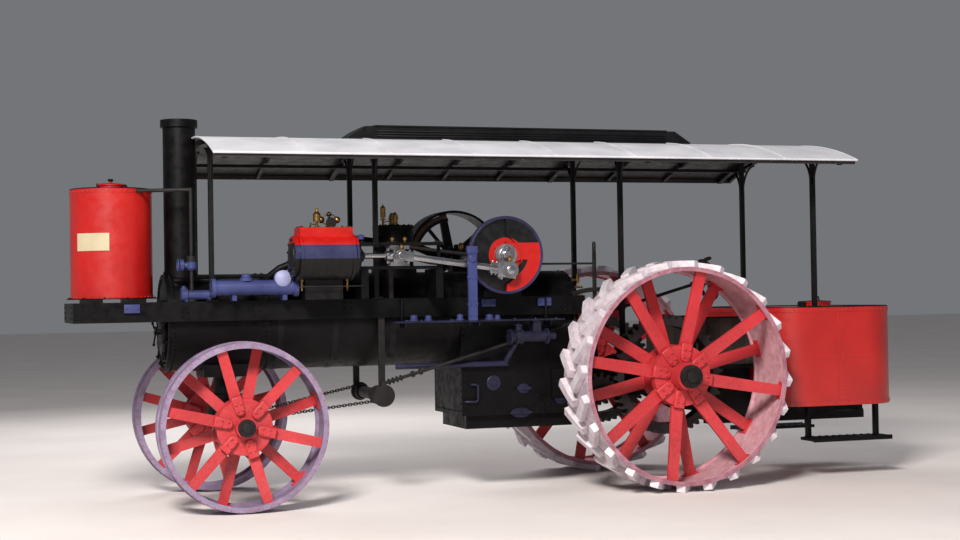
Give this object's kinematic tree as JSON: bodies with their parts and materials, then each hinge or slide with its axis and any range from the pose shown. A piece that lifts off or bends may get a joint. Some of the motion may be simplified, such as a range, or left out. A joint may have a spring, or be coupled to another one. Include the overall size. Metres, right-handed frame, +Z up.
{
  "type": "steam traction engine",
  "caption": "Steam traction engine with large lugged rear wheels, spoked front wheels, a side engine, an arched full-length canopy, a round front tank and a rear tank.",
  "frame": {"origin": "centre of the bounding box on the ground, on the engine's middle plane", "axes": "+X towards the front wheels, +Y towards the engine's left side, which carries the cylinder, +Z up"},
  "size_m": [8.2598, 2.88, 3.56],
  "materials": {
    "black_paint": "satin, dusty",
    "red_paint": "satin, worn",
    "roof_paint": "weathered",
    "pale_rim": "dusty, worn by the road",
    "grey_rim": "weathered",
    "bright_steel": "bright, oily",
    "dark_iron": "rough",
    "blue_grey_paint": "satin",
    "brass_parts": "dull",
    "board_deck": "worn boards"
  },
  "bodies": {
    "engine": {"boiler_barrel": "black_paint", "smokebox": "black_paint", "firebox": "black_paint", "smokestack": "black_paint", "steam_dome": "black_paint", "side_frames": "black_paint", "side_step": "blue_grey_paint", "front_pedestal": "black_paint", "front_tank": "red_paint", "tank_pipe": "dark_iron", "rear_frame": "black_paint", "drawbar": "black_paint", "rear_tank": "red_paint", "platform": "board_deck", "rear_axle": "dark_iron", "canopy_roof": "roof_paint", "roof_ridge_vent": "black_paint", "canopy_posts": "black_paint", "engine_cylinder": "red_paint", "crosshead_guide": "black_paint", "crosshead": "bright_steel", "shaft_bearings": "black_paint", "valve_gear": "bright_steel", "governor": "brass_parts", "feedwater_heater": "blue_grey_paint", "feed_pump": "blue_grey_paint", "drive_gears": "dark_iron", "steering_gear": "dark_iron", "steering_chains": "dark_iron", "hand_levers": "bright_steel"},
    "steering_axle": {"front_axle": "black_paint"},
    "front_wheel_left": {"front_rim_left": "grey_rim", "front_spider_left": "red_paint"},
    "front_wheel_right": {"front_rim_right": "grey_rim", "front_spider_right": "red_paint"},
    "rear_wheel_left": {"rear_rim_left": "pale_rim", "rear_spider_left": "red_paint"},
    "rear_wheel_right": {"rear_rim_right": "pale_rim", "rear_spider_right": "red_paint"},
    "bull_pinion_left": {"pinion_left": "dark_iron"},
    "bull_pinion_right": {"pinion_right": "dark_iron"},
    "crankshaft_and_flywheel": {"crankshaft": "red_paint", "flywheel": "black_paint"},
    "connecting_rod": {"connecting_rod": "bright_steel"},
    "smokebox_door": {"smokebox_door": "black_paint"},
    "fire_door": {"fire_door": "dark_iron"}
  },
  "joints": [
    {"name": "rear_wheel_left_spin", "type": "hinge", "parent": "engine", "child": "rear_wheel_left", "pos_m": [-1.43, 1.08, 1.09], "axis": [0, 1, 0], "continuous": true},
    {"name": "rear_wheel_right_spin", "type": "hinge", "parent": "engine", "child": "rear_wheel_right", "pos_m": [-1.43, -1.08, 1.09], "axis": [0, 1, 0], "continuous": true},
    {"name": "bull_pinion_left_spin", "type": "hinge", "parent": "engine", "child": "bull_pinion_left", "pos_m": [-0.74, 0.8, 0.97216], "axis": [0, 1, 0], "continuous": true},
    {"name": "bull_pinion_right_spin", "type": "hinge", "parent": "engine", "child": "bull_pinion_right", "pos_m": [-0.74, -0.8, 0.97216], "axis": [0, 1, 0], "continuous": true},
    {"name": "steering", "type": "hinge", "parent": "engine", "child": "steering_axle", "pos_m": [2.71, 0, 0.93], "axis": [0, 0, 1], "range_deg": [-25, 25]},
    {"name": "front_wheel_left_spin", "type": "hinge", "parent": "steering_axle", "child": "front_wheel_left", "pos_m": [2.71, 0.92, 0.755], "axis": [0, 1, 0], "continuous": true},
    {"name": "front_wheel_right_spin", "type": "hinge", "parent": "steering_axle", "child": "front_wheel_right", "pos_m": [2.71, -0.92, 0.755], "axis": [0, 1, 0], "continuous": true},
    {"name": "crankshaft_spin", "type": "hinge", "parent": "engine", "child": "crankshaft_and_flywheel", "pos_m": [0.17, 0, 2.26], "axis": [0, 1, 0], "continuous": true},
    {"name": "connecting_rod_pin", "type": "hinge", "parent": "crankshaft_and_flywheel", "child": "connecting_rod", "pos_m": [0.17, 0.89, 2.115], "axis": [0, 1, 0], "continuous": true},
    {"name": "smokebox_door_hinge", "type": "hinge", "parent": "engine", "child": "smokebox_door", "pos_m": [3.284, -0.282, 1.59], "axis": [0, 0, 1], "range_deg": [-100, 0]},
    {"name": "fire_door_hinge", "type": "hinge", "parent": "engine", "child": "fire_door", "pos_m": [-0.714, 0.24, 1.5], "axis": [0, 0, 1], "range_deg": [-100, 0]}
  ],
  "couplings": [
    {"joint": "bull_pinion_left_spin", "follows": "rear_wheel_left_spin", "ratio": -4},
    {"joint": "bull_pinion_right_spin", "follows": "rear_wheel_right_spin", "ratio": -4},
    {"joint": "connecting_rod_pin", "follows": "crankshaft_spin", "ratio": -1}
  ]
}
